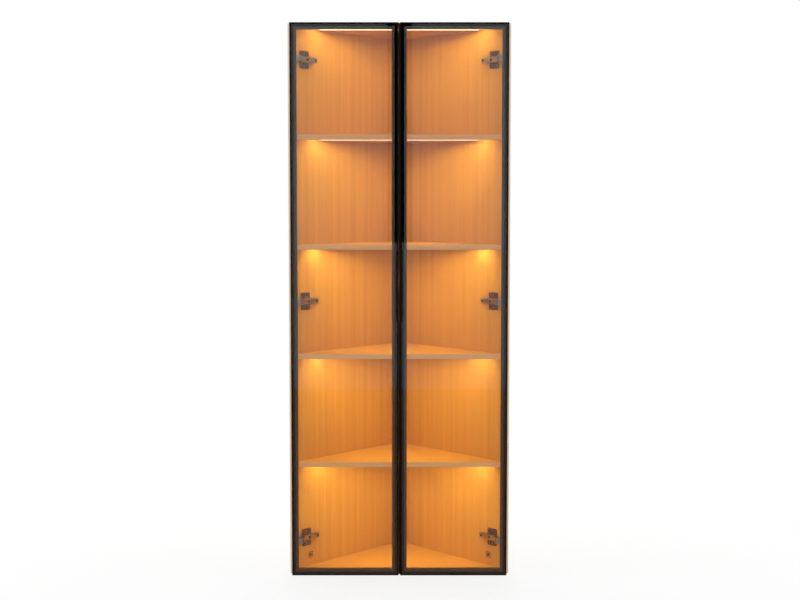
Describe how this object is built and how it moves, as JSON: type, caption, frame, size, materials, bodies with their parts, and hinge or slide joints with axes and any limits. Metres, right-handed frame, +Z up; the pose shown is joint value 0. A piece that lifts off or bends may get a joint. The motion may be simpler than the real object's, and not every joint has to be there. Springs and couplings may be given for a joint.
{
  "type": "corner display cabinet",
  "caption": "Tall corner display cabinet: triangular wood-grain case with fixed lit shelves and framed glass doors across the corner on concealed four-bar hinges.",
  "frame": {"origin": "on the floor under the middle of the whole cabinet with its doors shut", "axes": "+X to the right of someone facing the doors, +Y from the doors towards the room corner, +Z up"},
  "size_m": [0.8, 0.4508, 2.0036],
  "materials": {
    "bumper": "soft clear pad",
    "corner_key": "mill finish",
    "door_frame": "black anodised, satin",
    "door_glass": "grey tinted, polished",
    "edge_band": "paler wood edge band, satin",
    "fastener": "zinc plated steel",
    "foot": "black moulded foot",
    "glazing_tape": "black foam tape, matte",
    "glide": "black moulded glide",
    "grommet": "black moulded rubber",
    "handle": "black anodised, satin",
    "hinge_black": "black nickel look, satin",
    "hinge_steel": "plated steel, satin",
    "key_plate": "moulded cover in a wood tone",
    "light_cap": "grey moulded cap",
    "light_channel": "satin anodised",
    "light_diffuser": "opal cover, lit warm white",
    "light_tape": "flexible lamp strip",
    "seal": "black soft strip",
    "wood_board": "melamine-faced board with a fine upright wood grain, satin"
  },
  "bodies": {
    "case": {"arm_pins": "fastener", "bottom_panel": "wood_board", "cable_grommet": "grommet", "case_screws": "fastener", "edge_bands": "edge_band", "foot_key_plates": "key_plate", "hinge_adjusting_screws": "fastener", "left_hinge_arms": "hinge_black", "left_hinge_plates": "hinge_black", "left_side_panel": "wood_board", "levelling_feet": "foot", "light_channel_1": "light_channel", "light_channel_2": "light_channel", "light_channel_3": "light_channel", "light_channel_4": "light_channel", "light_channel_5": "light_channel", "light_diffusers": "light_diffuser", "light_end_caps": "light_cap", "light_tapes": "light_tape", "plate_screws": "fastener", "rear_glides": "glide", "right_hinge_arms": "hinge_black", "right_hinge_plates": "hinge_black", "right_side_panel": "wood_board", "shelf_1": "wood_board", "shelf_2": "wood_board", "shelf_3": "wood_board", "shelf_4": "wood_board", "top_panel": "wood_board"},
    "left_door": {"left_hinge_stile": "door_frame", "left_meeting_stile": "door_frame", "left_top_rail": "door_frame", "left_bottom_rail": "door_frame", "left_glass": "door_glass", "left_glazing_tape": "glazing_tape", "left_corner_keys": "corner_key", "left_handle": "handle", "left_door_bumpers": "bumper", "left_handle_screws": "fastener", "left_hinge_cups": "hinge_steel", "left_cup_pins": "fastener", "left_cup_screws": "fastener"},
    "left_outer_links": {"left_outer_links": "hinge_steel"},
    "left_inner_links": {"left_inner_links": "hinge_steel"},
    "right_door": {"right_hinge_stile": "door_frame", "right_meeting_stile": "door_frame", "right_top_rail": "door_frame", "right_bottom_rail": "door_frame", "right_glass": "door_glass", "right_glazing_tape": "glazing_tape", "right_corner_keys": "corner_key", "right_handle": "handle", "right_door_bumpers": "bumper", "right_handle_screws": "fastener", "right_hinge_cups": "hinge_steel", "right_cup_pins": "fastener", "right_cup_screws": "fastener", "dust_seal": "seal"},
    "right_outer_links": {"right_outer_links": "hinge_steel"},
    "right_inner_links": {"right_inner_links": "hinge_steel"}
  },
  "joints": [
    {"name": "left_outer_link_pivot", "type": "hinge", "parent": "case", "child": "left_outer_links", "pos_m": [-0.35407, -0.16336, 1.002], "axis": [0, 0, -1], "range_deg": [-21.2, 0]},
    {"name": "left_door_pivot", "type": "hinge", "parent": "left_outer_links", "child": "left_door", "pos_m": [-0.38347, -0.19136, 1.002], "axis": [0, 0, -1], "range_deg": [0, 116.18]},
    {"name": "left_inner_link_pivot", "type": "hinge", "parent": "case", "child": "left_inner_links", "pos_m": [-0.35477, -0.19736, 1.002], "axis": [0, 0, -1], "range_deg": [-34.35, 0]},
    {"name": "right_outer_link_pivot", "type": "hinge", "parent": "case", "child": "right_outer_links", "pos_m": [0.35407, -0.16336, 1.002], "axis": [0, 0, 1], "range_deg": [-21.2, 0]},
    {"name": "right_door_pivot", "type": "hinge", "parent": "right_outer_links", "child": "right_door", "pos_m": [0.38347, -0.19136, 1.002], "axis": [0, 0, 1], "range_deg": [0, 116.18]},
    {"name": "right_inner_link_pivot", "type": "hinge", "parent": "case", "child": "right_inner_links", "pos_m": [0.35477, -0.19736, 1.002], "axis": [0, 0, 1], "range_deg": [-34.35, 0]}
  ],
  "couplings": [
    {"joint": "left_outer_link_pivot", "follows": "left_door_pivot", "ratio": -0.1823},
    {"joint": "left_inner_link_pivot", "follows": "left_door_pivot", "ratio": -0.2954},
    {"joint": "right_outer_link_pivot", "follows": "right_door_pivot", "ratio": -0.1823},
    {"joint": "right_inner_link_pivot", "follows": "right_door_pivot", "ratio": -0.2954}
  ]
}
